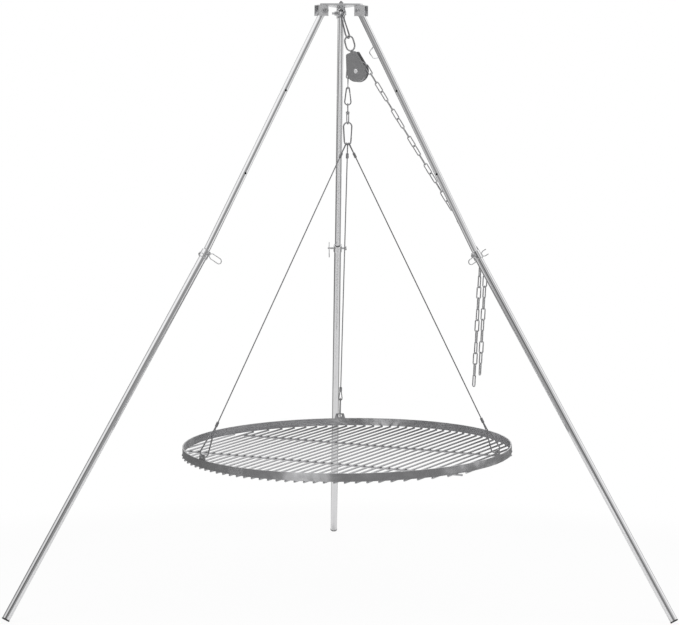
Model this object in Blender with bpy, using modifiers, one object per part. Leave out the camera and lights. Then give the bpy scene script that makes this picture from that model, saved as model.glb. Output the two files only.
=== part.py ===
"""Tripod swing grill: three two-piece legs, a head plate with an eye bolt, a chain run over a
pulley block, and a round grate that hangs from a carabiner on three wire ropes.

Metres, +Z up. The legs stand at azimuths -30, 90 and 210 degrees about the tripod axis, and the
origin lies on the ground at the middle of the feet's outline.
"""
import math

import bmesh
import bpy
from mathutils import Matrix, Vector

# Legs: an upper tube from the hinge bolt to the lock pin, a lower tube from there to the foot
LEG_AZIMUTHS = {"right": -30.0, "rear": 90.0, "left": 210.0}
LEG_TILT = 28.74
JOINT_SAG = 2.8
UPPER_REACH = 0.6615
LOWER_REACH = 0.956
UPPER_DIAMETER = 0.015
UPPER_WALL = 0.001
LOWER_DIAMETER = 0.018
LOWER_WALL = 0.0008
TUBE_OVER_BOLT = 0.008
TUBE_UNDER_PIN = 0.010
MOUTH_OVER_PIN = 0.009
SPARE_HOLES = (0.220, 0.445)

# Collar, lock pin and its spring clip
COLLAR_LENGTH = 0.020
COLLAR_WALL = 0.0015
PIN_DIAMETER = 0.005
PIN_HEAD_DIAMETER = 0.011
PIN_HEAD_START = 0.017
PIN_HEAD_LENGTH = 0.006
PIN_TIP = 0.0258
PIN_NECK_DIAMETER = 0.0036
CLIP_WIRE = 0.0022
CLIP_PLANE = 0.0222
CLIP_HALF_WIDTH = 0.0065
CLIP_INNER_REACH = 0.037
CLIP_OUTER_REACH = 0.018

# Foot plugs
PLUG_FLANGE_DIAMETER = 0.0188
PLUG_FLANGE = 0.003
PLUG_STEM = 0.015
PLUG_WORN = 0.001

# Head: plate, brackets, hinge bolts and eye bolt
HINGE_RADIUS = 0.050
PLATE_CORNER = 0.057
PLATE_CORNER_ROUND = 0.012
PLATE_THICKNESS = 0.004
BRACKET_SHEET = 0.002
BRACKET_IN = 0.0085
BRACKET_OUT = 0.0186
BRACKET_DROP = 0.0125
BRACKET_SIDE_PLAY = 0.0006
HINGE_BOLT_DIAMETER = 0.006
BOLT_HEAD_DIAMETER = 0.0100
BOLT_HEAD_HEIGHT = 0.003
NUT_ACROSS = 0.0100
NUT_HEIGHT = 0.005
BOLT_PROUD = 0.006
EYE_OUTER = 0.025
EYE_WIRE = 0.005
EYE_SHANK_DIAMETER = 0.006
EYE_UNDER_PLATE = 0.0025
EYE_PROUD = 0.003

# Chain: oval links, each turned about the run by a fixed twist from the one before
LINK_WIRE = 0.003
LINK_WIDTH = 0.012
LINK_PITCH = 0.026
LINK_OVERLAP = 0.0004
LINK_TWIST = -60.0
CHAIN_ON_PIN = 0.0145
TAIL_ON_PIN = 0.0180
TAIL_LINKS = (11, 10)
TAIL_HALF_GAP = 0.0070
TAIL_TOP_HALF_GAP = 0.00168
TAIL_LEAN = 2.8
TAIL_SIDEWAYS = 0.0015
TAIL_SHIFT = 0.0055

# Pulley block and what it hangs on
HANGER_LEAN = 17.7
HANGER_LENGTH = 0.0645
HANGER_WIDE = 0.025
HANGER_NARROW = 0.0155
HANGER_WIRE = 0.0045
SWIVEL_LINK_LENGTH = 0.040
SWIVEL_LINK_WIDTH = 0.027
SWIVEL_LINK_WIRE = 0.004
POST_DIAMETER = 0.0056
POST_HEAD_DIAMETER = 0.010
POST_HEAD = 0.0035
CROWN_THICKNESS = 0.005
CROWN_WIDTH = 0.016
CROWN_TO_AXLE = 0.0472
SHEAVE_PITCH_RADIUS = 0.026
SHEAVE_RIM_RADIUS = 0.0246
SHEAVE_GROOVE_RADIUS = 0.0160
SHEAVE_GROOVE_WIDTH = 0.0064
SHEAVE_WIDTH = 0.015
SHEAVE_HUB_RADIUS = 0.008
AXLE_DIAMETER = 0.007
AXLE_HEAD_DIAMETER = 0.011
AXLE_HEAD = 0.0018
CHEEK_RADIUS = 0.0254
CHEEK_TOP_WIDTH = 0.029
CHEEK_CORNER = 0.005
CHEEK_SHEET = 0.002
CHEEK_PLAY = 0.0006

# Fall: chain hook, swivel and rope carabiner
CHAIN_HOOK_LENGTH = 0.046
CHAIN_HOOK_WIDE = 0.019
CHAIN_HOOK_NARROW = 0.011
CHAIN_HOOK_WIRE = 0.0036
SWIVEL_EYE_LENGTH = 0.0206
SWIVEL_EYE_WIDTH = 0.012
SWIVEL_WIRE = 0.003
SWIVEL_STEM = 0.0040
SWIVEL_HEAD_DIAMETER = 0.0062
SWIVEL_BOSS_DIAMETER = 0.0090
SWIVEL_BOSS = 0.005
SWIVEL_BOW_HEIGHT = 0.029
SWIVEL_BOW_WIDTH = 0.014
SWIVEL_BOW_TURN = 65.0
ROPE_HOOK_LENGTH = 0.058
ROPE_HOOK_WIDE = 0.024
ROPE_HOOK_NARROW = 0.020
ROPE_HOOK_WIRE = 0.004
GATE_SHARE = 0.42

# Ropes, lower hooks and grate
ROPE_DIAMETER = 0.0028
ROPE_LOOP_LENGTH = 0.034
ROPE_SEAT_SWING = 33.0
ROPE_LOOP_WIDTH = 0.0110
FERRULE_DIAMETER = 0.0070
FERRULE_LENGTH = 0.012
LOW_HOOK_LENGTH = 0.057
LOW_HOOK_WIDE = 0.026
LOW_HOOK_NARROW = 0.014
LOW_HOOK_WIRE = 0.0035
LOW_HOOK_TOP_BEARING = 50.0
LOW_HOOK_FOOT_BEARING = 6.0
GRATE_RADIUS = 0.400
GRATE_RIM_HEIGHT = 0.354
GRATE_TILT = 2.87
GRATE_ROLL = -0.86
GRATE_SIDEWAYS = 0.0027
GRATE_TURN = 1.0
RING_BAR = 0.003
RING_HEIGHT = 0.019
ROD_DIAMETER = 0.0045
ROD_PITCH = 0.0218
ROD_SHIFT = 0.0030
ROD_FROM_RIM = 0.012
ROD_AZIMUTH = 60.0
CROSS_DIAMETER = 0.005
CROSS_OFFSET = 0.1333
CROSS_SHORT = 0.006
WELD_SINK = 0.0005
EAR_TURNS = {"right": 2.2, "rear": 1.6, "left": 0.2}
EAR_BASE = 0.034
EAR_TOP = 0.020
EAR_RISE = 0.013
EAR_SHEET = 0.003
EAR_LAP = 0.010
EAR_HOLE_DIAMETER = 0.009
EAR_HOLE_RISE = 0.0072
EAR_HOLE_LIFT = -0.0002

# Small staple on the inner side of the right upper tube
STAPLE_HIGH = 0.094
STAPLE_LOW = 0.124
STAPLE_REACH = 0.016
STAPLE_WIRE = 0.0025

GAP = 0.0003
TUBE_SIDES = 16
BOLT_SIDES = 12
ROD_SIDES = 6

HINGE_HEIGHT = (
    UPPER_REACH * math.cos(math.radians(LEG_TILT))
    + LOWER_REACH * math.cos(math.radians(LEG_TILT + JOINT_SAG))
    + PLUG_FLANGE_DIAMETER / 2 * math.sin(math.radians(LEG_TILT + JOINT_SAG))
    - PLUG_WORN
)
FOOT_RADIUS = (
    HINGE_RADIUS
    + UPPER_REACH * math.sin(math.radians(LEG_TILT))
    + LOWER_REACH * math.sin(math.radians(LEG_TILT + JOINT_SAG))
)
AXIS_Y = -FOOT_RADIUS / 4
BRACKET_TOP = (
    TUBE_OVER_BOLT * math.cos(math.radians(LEG_TILT))
    + UPPER_DIAMETER / 2 * math.sin(math.radians(LEG_TILT))
    + GAP
)
BRACKET_HALF_GAP = UPPER_DIAMETER / 2 + BRACKET_SIDE_PLAY
PLATE_BASE = HINGE_HEIGHT + BRACKET_TOP + BRACKET_SHEET + GAP
LINK_GAP_STEP = LINK_OVERLAP + GAP

for thing in list(bpy.data.objects):
    bpy.data.objects.remove(thing)

PARTS = bpy.data.collections.new("tripod_swing_grill")
CUTTERS = bpy.data.collections.new("cutters")
bpy.context.scene.collection.children.link(PARTS)
bpy.context.scene.collection.children.link(CUTTERS)


def material(name, colour, roughness, metallic):
    made = bpy.data.materials.new(name)
    made.use_nodes = True
    shader = made.node_tree.nodes["Principled BSDF"]
    shader.inputs["Base Color"].default_value = (*colour, 1)
    shader.inputs["Roughness"].default_value = roughness
    shader.inputs["Metallic"].default_value = metallic
    return made


POLISHED = material("polished_steel", (0.80, 0.80, 0.81), 0.12, 1.0)
BRUSHED = material("brushed_steel", (0.62, 0.62, 0.63), 0.35, 1.0)
SATIN = material("satin_cheek", (0.50, 0.50, 0.51), 0.42, 1.0)
ZINC = material("zinc_wire", (0.66, 0.67, 0.68), 0.28, 1.0)
ROPE = material("wire_rope", (0.60, 0.60, 0.62), 0.40, 1.0)
BLACK = material("black_plastic", (0.03, 0.03, 0.03), 0.50, 0.0)


def frame(name, parent=None, location=(0, 0, 0), turn=(0, 0, 0)):
    """An empty; turn is its rotation in degrees."""
    made = bpy.data.objects.new(name, None)
    made.location = location
    made.rotation_euler = [math.radians(angle) for angle in turn]
    made.parent = parent
    CUTTERS.objects.link(made)
    return made


def piece(name, data, look, parent=None, location=(0, 0, 0), turn=(0, 0, 0)):
    made = bpy.data.objects.new(name, data)
    made.location = location
    made.rotation_euler = [math.radians(angle) for angle in turn]
    made.parent = parent
    PARTS.objects.link(made)
    if look is not None:
        data.materials.clear()
        data.materials.append(look)
    return made


def guide(made):
    """A cutter, or a shape that is joined into another piece."""
    if made.name in PARTS.objects:
        PARTS.objects.unlink(made)
        CUTTERS.objects.link(made)
    made.hide_render = True
    made.display_type = "WIRE"
    return made


def combine(target, other, operation):
    guide(other)
    step = target.modifiers.new(operation.lower(), "BOOLEAN")
    step.operation = operation
    step.object = other
    step.solver = "EXACT"
    return target


def mesh_from(name, shape, smooth=True):
    made = bpy.data.meshes.new(name)
    shape.to_mesh(made)
    shape.free()
    if smooth:
        made.shade_smooth()
        made.set_sharp_from_angle(angle=math.radians(40))
    return made


TURNS = {"Z": Matrix(), "X": Matrix.Rotation(math.radians(90), 4, "Y"),
         "Y": Matrix.Rotation(math.radians(-90), 4, "X")}


def add_bar(shape, axis, radius, start, end, sides, at=(0, 0, 0)):
    """A cylinder along one axis, from start to end, with its centre line through at."""
    middle = Matrix.Translation(at) @ TURNS[axis] @ Matrix.Translation((0, 0, (start + end) / 2))
    bmesh.ops.create_cone(shape, cap_ends=True, segments=sides, radius1=radius, radius2=radius,
                          depth=end - start, matrix=middle)


def bar_mesh(name, axis, radius, start, end, sides, places=((0, 0, 0),)):
    shape = bmesh.new()
    for at in places:
        add_bar(shape, axis, radius, start, end, sides, at)
    return mesh_from(name, shape)


def add_box(shape, low, high):
    low, high = Vector(low), Vector(high)
    size = Matrix.Diagonal((*(high - low), 1))
    bmesh.ops.create_cube(shape, size=1, matrix=Matrix.Translation((low + high) / 2) @ size)


def box_mesh(name, *corners):
    shape = bmesh.new()
    for low, high in corners:
        add_box(shape, low, high)
    return mesh_from(name, shape, smooth=False)


def turned(name, profile, look, ring=False, sides=TUBE_SIDES, **where):
    """A profile of (radius, height) points, outer side top to bottom, turned about Z."""
    mesh = bpy.data.meshes.new(name)
    edges = [(i, i + 1) for i in range(len(profile) - 1)]
    if ring:
        edges.append((len(profile) - 1, 0))
    mesh.from_pydata([(radius, 0, height) for radius, height in profile], edges, [])
    made = piece(name, mesh, look, **where)
    screw = made.modifiers.new("turn", "SCREW")
    screw.steps = screw.render_steps = sides
    screw.use_merge_vertices = True
    screw.merge_threshold = 0.00001
    screw.use_smooth_shade = True
    return made


def wire_mesh(name, points, diameter, closed=False):
    """A bent wire as a welded mesh."""
    curve = bpy.data.curves.new(name + "_path", "CURVE")
    curve.dimensions = "3D"
    spline = curve.splines.new("POLY")
    spline.points.add(len(points) - 1)
    for point, place in zip(spline.points, points):
        point.co = (*place, 1)
    spline.use_cyclic_u = closed
    curve.bevel_depth = diameter / 2
    curve.bevel_resolution = 1
    curve.use_fill_caps = True
    bent = bpy.data.objects.new(name + "_path", curve)
    CUTTERS.objects.link(bent)
    bpy.context.view_layer.update()
    mesh = bpy.data.meshes.new_from_object(bent.evaluated_get(bpy.context.evaluated_depsgraph_get()))
    bpy.data.objects.remove(bent)
    shape = bmesh.new()
    shape.from_mesh(mesh)
    bmesh.ops.remove_doubles(shape, verts=shape.verts, dist=0.000001)
    bmesh.ops.recalc_face_normals(shape, faces=shape.faces)
    return mesh_from(name, shape)


def arc(centre, radius, start, end, count):
    """Points of a circular arc in the XZ plane, angles in degrees from +X towards +Z."""
    steps = [math.radians(start + (end - start) * i / (count - 1)) for i in range(count)]
    return [Vector((centre[0] + radius * math.cos(a), 0, centre[1] + radius * math.sin(a)))
            for a in steps]


def along(start, end, side):
    """A matrix at start whose Z runs to end and whose X lies as near to side as it can."""
    z = (Vector(end) - Vector(start)).normalized()
    y = z.cross(Vector(side)).normalized()
    x = y.cross(z)
    return Matrix.Translation(start) @ Matrix((x, y, z)).transposed().to_4x4()


def polar(radius, azimuth, height=0.0):
    angle = math.radians(azimuth)
    return Vector((radius * math.cos(angle), radius * math.sin(angle), height))


# Oval chain link, long axis Z, width along X
def link_mesh():
    inner_half = (LINK_PITCH - LINK_OVERLAP) / 2
    bend = (LINK_WIDTH - LINK_WIRE) / 2
    straight = inner_half + LINK_WIRE / 2 - bend
    bpy.ops.mesh.primitive_torus_add(major_radius=bend, minor_radius=LINK_WIRE / 2,
                                     major_segments=10, minor_segments=6)
    ring = bpy.context.object
    shape = bmesh.new()
    shape.from_mesh(ring.data)
    bpy.data.objects.remove(ring)
    for vertex in shape.verts:
        vertex.co.x += math.copysign(straight, vertex.co.x)
    bmesh.ops.transform(shape, matrix=Matrix.Rotation(math.radians(-90), 4, "Y"), verts=shape.verts)
    bmesh.ops.transform(shape, matrix=Matrix.Rotation(math.radians(90), 4, "Z"), verts=shape.verts)
    return mesh_from("link", shape)


LINK = link_mesh()


def add_link(shape, upper, lower, roll):
    """One link between two contact points; roll 0 puts its width in the XZ plane."""
    place = along((upper + lower) / 2, upper, (1, 0, 0))
    turn = Matrix.Rotation(math.radians(roll), 4, "Z")
    kept = len(shape.verts)
    shape.from_mesh(LINK)
    shape.verts.ensure_lookup_table()
    bmesh.ops.transform(shape, matrix=place @ turn, verts=shape.verts[kept:])


def chain(name, links, parent, origin):
    """Links that touch, every other one joined into the rest; origin is the piece's own."""
    groups = [bmesh.new(), bmesh.new()]
    for group, upper, lower, roll in links:
        add_link(groups[group % 2], upper - origin, lower - origin, roll)
    made = piece(name, mesh_from(name, groups[0]), ZINC, parent, origin)
    if len(links) > 1:
        others = piece(name + "_others", mesh_from(name + "_others", groups[1]), ZINC, parent, origin)
        combine(made, others, "UNION")
    else:
        groups[1].free()
    return made


TRIPOD = frame("tripod", location=(0, AXIS_Y, 0))


# Legs
def tube(name, diameter, wall, top, bottom, look, parent):
    outer, inner = diameter / 2, diameter / 2 - wall
    profile = [(outer, top), (outer, bottom), (inner, bottom), (inner, top)]
    return turned(name, profile, look, ring=True, parent=parent)


def pin_hole(parent, heights):
    radius = PIN_DIAMETER / 2 + GAP
    reach = LOWER_DIAMETER
    places = [(0, 0, height) for height in heights]
    return piece("pin_hole", bar_mesh("pin_hole", "Y", radius, -reach, reach, BOLT_SIDES, places),
                 None, parent)


def upper_tube(side, leg, lower):
    bottom = -UPPER_REACH - TUBE_UNDER_PIN
    made = tube("upper_tube_" + side, UPPER_DIAMETER, UPPER_WALL, TUBE_OVER_BOLT, bottom,
                POLISHED, leg)
    combine(made, pin_hole(leg, [-reach for reach in SPARE_HOLES]), "DIFFERENCE")
    bolt = bar_mesh("bolt_hole", "Y", HINGE_BOLT_DIAMETER / 2 + GAP, -LOWER_DIAMETER,
                    LOWER_DIAMETER, BOLT_SIDES)
    combine(made, piece("bolt_hole", bolt, None, leg), "DIFFERENCE")
    half = PIN_DIAMETER / 2 + GAP
    notch = box_mesh("notch", ((-half, -LOWER_DIAMETER, -TUBE_UNDER_PIN * 2),
                               (half, LOWER_DIAMETER, 0)))
    combine(made, pin_hole(lower, [0]), "DIFFERENCE")
    combine(made, piece("notch", notch, None, lower), "DIFFERENCE")
    return made


def lower_tube(side, lower):
    bottom = -LOWER_REACH + PLUG_FLANGE + GAP
    made = tube("lower_tube_" + side, LOWER_DIAMETER, LOWER_WALL, MOUTH_OVER_PIN, bottom,
                POLISHED, lower)
    combine(made, pin_hole(lower, [0]), "DIFFERENCE")


def collar(side, lower):
    inner = LOWER_DIAMETER / 2 + GAP
    outer = inner + COLLAR_WALL
    chamfer = COLLAR_WALL / 3
    top, bottom = COLLAR_LENGTH / 2, -COLLAR_LENGTH / 2
    profile = [(outer - chamfer, top), (outer, top - chamfer), (outer, bottom + chamfer),
               (outer - chamfer, bottom), (inner, bottom), (inner, top)]
    made = turned("collar_" + side, profile, POLISHED, ring=True, parent=lower)
    combine(made, pin_hole(lower, [0]), "DIFFERENCE")


def lock_pin(side, lower):
    shaft, neck = PIN_DIAMETER / 2, PIN_NECK_DIAMETER / 2
    head, half_neck = PIN_HEAD_DIAMETER / 2, CLIP_WIRE / 2 + GAP
    head_end = -PIN_HEAD_START - PIN_HEAD_LENGTH
    round_off = head / 4
    profile = [(0, PIN_TIP), (neck, PIN_TIP), (shaft, PIN_TIP - (shaft - neck)),
               (shaft, CLIP_PLANE + half_neck), (neck, CLIP_PLANE + half_neck),
               (neck, CLIP_PLANE - half_neck), (shaft, CLIP_PLANE - half_neck),
               (shaft, -PIN_HEAD_START), (head, -PIN_HEAD_START),
               (head, head_end + round_off), (head - round_off, head_end), (0, head_end)]
    turned("lock_pin_" + side, profile, POLISHED, sides=BOLT_SIDES, parent=lower, turn=(-90, 0, 0))


def pin_clip(side, lower):
    """A hairpin of spring wire that grips the pin's neck with its waist."""
    half = CLIP_HALF_WIDTH
    waist = PIN_NECK_DIAMETER / 2 + CLIP_WIRE / 2 + GAP
    upper = [Vector((CLIP_OUTER_REACH, 0, half)), Vector((waist * 2.6, 0, half)),
             Vector((waist * 0.9, 0, waist * 1.15)), Vector((0, 0, waist)),
             Vector((-waist * 0.9, 0, waist * 1.15)), Vector((-waist * 2.6, 0, half))]
    bend = arc((-CLIP_INNER_REACH + half, 0), half, 90, 270, 7)
    lower_run = [Vector((point.x, 0, -point.z)) for point in reversed(upper)]
    piece("pin_clip_" + side, wire_mesh("pin_clip", upper + bend + lower_run, CLIP_WIRE), ZINC,
          lower, (0, CLIP_PLANE, 0))


def foot_plug(side, lower):
    stem, flange = LOWER_DIAMETER / 2 - LOWER_WALL - GAP, PLUG_FLANGE_DIAMETER / 2
    base = -LOWER_REACH
    round_off = PLUG_FLANGE / 4
    profile = [(0, base + PLUG_STEM), (stem, base + PLUG_STEM), (stem, base + PLUG_FLANGE),
               (flange, base + PLUG_FLANGE), (flange, base + round_off),
               (flange - round_off, base), (0, base)]
    made = turned("foot_plug_" + side, profile, BLACK, parent=lower)
    reach = PLUG_FLANGE_DIAMETER
    ground = polar(FOOT_RADIUS, LEG_AZIMUTHS[side])
    floor = box_mesh("floor_cut", ((-reach, -reach, -reach), (reach, reach, 0)))
    combine(made, piece("floor_cut", floor, None, TRIPOD, ground), "DIFFERENCE")


def staple(leg, tube_piece):
    """A small bent eyelet of wire, welded on by both ends."""
    start = -(UPPER_DIAMETER - UPPER_WALL) / 2
    reach, half = -UPPER_DIAMETER / 2 - STAPLE_REACH, (STAPLE_LOW - STAPLE_HIGH) / 2
    points = [(start, 0, half), (reach * 0.92, 0, half * 0.64), (reach, 0, half * 0.42),
              (reach * 0.88, 0, -half * 0.52), (reach * 0.76, 0, -half * 0.76), (start, 0, -half)]
    middle = (0, 0, -(STAPLE_HIGH + STAPLE_LOW) / 2)
    bent = piece("leg_staple", wire_mesh("leg_staple", points, STAPLE_WIRE), None, leg, middle)
    combine(tube_piece, bent, "UNION")


LOWER_FRAMES = {}
for side, azimuth in LEG_AZIMUTHS.items():
    leg = frame("leg_" + side, TRIPOD, polar(HINGE_RADIUS, azimuth, HINGE_HEIGHT),
                (0, -LEG_TILT, azimuth))
    lower = frame("lower_leg_" + side, leg, (0, 0, -UPPER_REACH), (0, -JOINT_SAG, 0))
    LOWER_FRAMES[side] = lower
    upper = upper_tube(side, leg, lower)
    lower_tube(side, lower)
    collar(side, lower)
    lock_pin(side, lower)
    pin_clip(side, lower)
    foot_plug(side, lower)
    if side == "right":
        staple(leg, upper)


# Hoist: all of it lies in the upright plane through the tripod axis and the right lock pin
def tripod_place(parent_frame, point):
    bpy.context.view_layer.update()
    return TRIPOD.matrix_world.inverted() @ parent_frame.matrix_world @ Vector(point)


PIN_POINT = tripod_place(LOWER_FRAMES["right"], (0, CHAIN_ON_PIN, 0))
TAIL_POINT = tripod_place(LOWER_FRAMES["right"], (0, TAIL_ON_PIN, 0))
HOIST_AZIMUTH = math.degrees(math.atan2(PIN_POINT.y, PIN_POINT.x))
HOIST = frame("hoist_plane", TRIPOD, turn=(0, 0, HOIST_AZIMUTH))


def hoist_point(place):
    return Matrix.Rotation(-math.radians(HOIST_AZIMUTH), 4, "Z") @ place


# Head
def head_plate():
    """A triangle of sheet with rounded corners, one over each bracket."""
    outline = []
    for azimuth in LEG_AZIMUTHS.values():
        centre = polar(PLATE_CORNER - PLATE_CORNER_ROUND, azimuth)
        outline += [centre + polar(PLATE_CORNER_ROUND, azimuth + swing) for swing in range(-60, 61, 20)]
    curve = bpy.data.curves.new("head_outline", "CURVE")
    curve.dimensions = "2D"
    curve.fill_mode = "BOTH"
    curve.extrude = PLATE_THICKNESS / 2
    spline = curve.splines.new("POLY")
    spline.points.add(len(outline) - 1)
    for point, place in zip(spline.points, outline):
        point.co = (place.x, place.y, 0, 1)
    spline.use_cyclic_u = True
    flat = bpy.data.objects.new("head_outline", curve)
    CUTTERS.objects.link(flat)
    bpy.context.view_layer.update()
    mesh = bpy.data.meshes.new_from_object(flat.evaluated_get(bpy.context.evaluated_depsgraph_get()))
    bpy.data.objects.remove(flat)
    shape = bmesh.new()
    shape.from_mesh(mesh)
    bmesh.ops.remove_doubles(shape, verts=shape.verts, dist=0.000001)
    middle = PLATE_BASE + PLATE_THICKNESS / 2
    plate = piece("head_plate", mesh_from("head_plate", shape, smooth=False), POLISHED, TRIPOD,
                  (0, 0, middle))
    hole = bar_mesh("eye_hole", "Z", EYE_SHANK_DIAMETER / 2 + GAP, -PLATE_THICKNESS,
                    PLATE_THICKNESS, BOLT_SIDES)
    combine(plate, piece("eye_hole", hole, None, TRIPOD, (0, 0, middle)), "DIFFERENCE")


def bracket(side, hinge):
    """A channel that opens downwards and outwards, with a cheek on each side of the leg."""
    outer = BRACKET_HALF_GAP + BRACKET_SHEET
    top = BRACKET_TOP + BRACKET_SHEET
    body = box_mesh("bracket_" + side, ((-BRACKET_IN, -outer, -BRACKET_DROP), (BRACKET_OUT, outer, top)))
    made = piece("bracket_" + side, body, POLISHED, hinge)
    reach = BRACKET_OUT * 2
    slot = box_mesh("bracket_slot", ((-reach, -BRACKET_HALF_GAP, -reach),
                                     (reach, BRACKET_HALF_GAP, BRACKET_TOP)))
    combine(made, piece("bracket_slot", slot, None, hinge), "DIFFERENCE")
    hole = bar_mesh("bracket_hole", "Y", HINGE_BOLT_DIAMETER / 2 + GAP, -outer * 2, outer * 2, BOLT_SIDES)
    combine(made, piece("bracket_hole", hole, None, hinge), "DIFFERENCE")


def hinge_bolt(side, hinge):
    face = BRACKET_HALF_GAP + BRACKET_SHEET + GAP
    shank, head = HINGE_BOLT_DIAMETER / 2, BOLT_HEAD_DIAMETER / 2
    end = face + NUT_HEIGHT + BOLT_PROUD
    dome = BOLT_HEAD_HEIGHT / 2
    profile = [(0, end), (shank * 0.8, end), (shank, end - shank * 0.2), (shank, -face),
               (head, -face), (head, -face - dome), (head * 0.7, -face - BOLT_HEAD_HEIGHT),
               (0, -face - BOLT_HEAD_HEIGHT)]
    turned("hinge_bolt_" + side, profile, POLISHED, sides=BOLT_SIDES, parent=hinge, turn=(-90, 0, 0))
    nut(f"hinge_nut_{side}", face, shank, hinge, (-90, 0, 0))


def nut(name, base, shank, parent, turn, location=(0, 0, 0)):
    """A hexagon nut whose lower face stands at base, in the frame's own Z after turn."""
    shape = bmesh.new()
    add_bar(shape, "Z", NUT_ACROSS / math.sqrt(3), base, base + NUT_HEIGHT, 6)
    made = piece(name, mesh_from(name, shape, smooth=False), POLISHED, parent, location, turn)
    bore = bar_mesh("nut_bore", "Z", shank + GAP, base - NUT_HEIGHT, base + NUT_HEIGHT * 2, BOLT_SIDES)
    combine(made, piece("nut_bore", bore, None, parent, location, turn), "DIFFERENCE")


def eye_bolt():
    radius = (EYE_OUTER - EYE_WIRE) / 2
    top = PLATE_THICKNESS + EYE_UNDER_PLATE + GAP + NUT_HEIGHT + EYE_PROUD
    centre = PLATE_BASE - EYE_UNDER_PLATE - EYE_OUTER / 2
    eye = piece("eye_bolt", wire_mesh("eye_bolt", arc((0, 0), radius, 0, 342, 20), EYE_WIRE, True),
                POLISHED, TRIPOD, (0, 0, centre), (0, 0, HOIST_AZIMUTH))
    shank = bar_mesh("eye_shank", "Z", EYE_SHANK_DIAMETER / 2, radius, EYE_OUTER / 2 + top, BOLT_SIDES)
    combine(eye, piece("eye_shank", shank, None, TRIPOD, (0, 0, centre)), "UNION")
    seat = bar_mesh("eye_seat", "Z", EYE_SHANK_DIAMETER, radius + EYE_WIRE / 4,
                    EYE_OUTER / 2 + EYE_UNDER_PLATE - GAP, BOLT_SIDES)
    combine(eye, piece("eye_seat", seat, None, TRIPOD, (0, 0, centre)), "UNION")
    nut("eye_nut", PLATE_BASE + PLATE_THICKNESS + GAP, EYE_SHANK_DIAMETER / 2, TRIPOD, (0, 0, 0))
    return centre, radius


head_plate()
for side, azimuth in LEG_AZIMUTHS.items():
    hinge = frame("hinge_" + side, TRIPOD, polar(HINGE_RADIUS, azimuth, HINGE_HEIGHT), (0, 0, azimuth))
    bracket(side, hinge)
    hinge_bolt(side, hinge)
EYE_CENTRE, EYE_RADIUS = eye_bolt()


# Wire hooks: a pear-shaped loop of wire with a gate in one straight side
def hook(name, length, top_width, bottom_width, wire, look, parent, place, gate_side=1):
    """The hook hangs from place, its top wire's centre; X is its width and Z its length."""
    high, low = (top_width - wire) / 2, (bottom_width - wire) / 2
    span = length - wire - high - low
    lean = math.degrees(math.asin((low - high) / span))
    upper = arc((0, -high), high, -lean, 180 + lean, 7)
    lower = arc((0, -high - span), low, 180 + lean, 360 - lean, 7)
    closing = (upper[0], lower[-1])
    share = (1 - GATE_SHARE) / 2
    gate_top = closing[0].lerp(closing[1], share)
    gate_end = closing[0].lerp(closing[1], 1 - share)
    step = (gate_end - gate_top).normalized() * GAP
    path = [gate_top - step] + upper + lower + [gate_end + step]
    mirror = Matrix.Scale(gate_side, 4, (1, 0, 0))
    body = piece(name, wire_mesh(name, [mirror @ point for point in path], wire), look, parent)
    body.matrix_local = place
    ends = [mirror @ gate_top, mirror @ gate_end]
    gate = piece(name + "_gate", wire_mesh(name + "_gate", [Vector(), ends[0] - ends[1]], wire * 0.9),
                 look, parent)
    gate.matrix_local = place @ Matrix.Translation(ends[1])
    return length - wire


def hang(wire_above, wire_below):
    """How far a hanging loop's top wire stands over the wire that carries it."""
    return (wire_above + wire_below) / 2 + GAP


def hanger():
    """Carabiner in the eye, swivel link and post, down to the block; returns the axle's place."""
    lean = Matrix.Rotation(math.radians(-HANGER_LEAN), 4, "Y")
    across = Matrix.Rotation(math.radians(90), 4, "Z")
    top = hang(EYE_WIRE, HANGER_WIRE) - EYE_RADIUS
    eye = Matrix.Translation((0, 0, EYE_CENTRE)) @ lean
    length = hook("hanger_hook", HANGER_LENGTH, HANGER_NARROW, HANGER_WIDE, HANGER_WIRE, POLISHED,
                  HOIST, eye @ Matrix.Translation((0, 0, top)) @ across)
    link_top = top - length + hang(HANGER_WIRE, SWIVEL_LINK_WIRE)
    link_bottom = swivel_link(eye, link_top)
    crown = link_bottom - SWIVEL_LINK_WIRE / 2 - GAP - POST_HEAD
    block = eye @ Matrix.Translation((0, 0, crown - CROWN_TO_AXLE))
    return block


def swivel_link(eye, top):
    """An oval eye set square to the carabiner, with the post of the block's swivel in its foot."""
    bend = (SWIVEL_LINK_WIDTH - SWIVEL_LINK_WIRE) / 2
    drop = SWIVEL_LINK_LENGTH - SWIVEL_LINK_WIRE
    path = arc((0, -bend), bend, 0, 180, 8) + arc((0, -drop + bend), bend, 180, 360, 8)
    place = eye @ Matrix.Translation((0, 0, top))
    link = piece("swivel_link", wire_mesh("swivel_link", path, SWIVEL_LINK_WIRE, True), ZINC, HOIST)
    link.matrix_local = place
    stem_end = -drop - SWIVEL_LINK_WIRE / 2 - POST_HEAD - CROWN_THICKNESS - POST_HEAD
    shape = bmesh.new()
    add_bar(shape, "Z", POST_DIAMETER / 2, stem_end - GAP * 2, -drop, BOLT_SIDES)
    stem = piece("post_stem", mesh_from("post_stem", shape), None, HOIST)
    stem.matrix_local = place
    combine(link, stem, "UNION")
    collar_top = -drop - SWIVEL_LINK_WIRE / 4
    head = bmesh.new()
    add_bar(head, "Z", POST_HEAD_DIAMETER / 2, -drop - SWIVEL_LINK_WIRE / 2 - POST_HEAD, collar_top,
            BOLT_SIDES)
    add_bar(head, "Z", POST_HEAD_DIAMETER / 2, stem_end - POST_HEAD - GAP, stem_end - GAP, BOLT_SIDES)
    heads = piece("post_heads", mesh_from("post_heads", head), None, HOIST)
    heads.matrix_local = place
    combine(link, heads, "UNION")
    return top - drop


BLOCK = hanger()
AXLE = BLOCK.to_translation()


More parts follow.
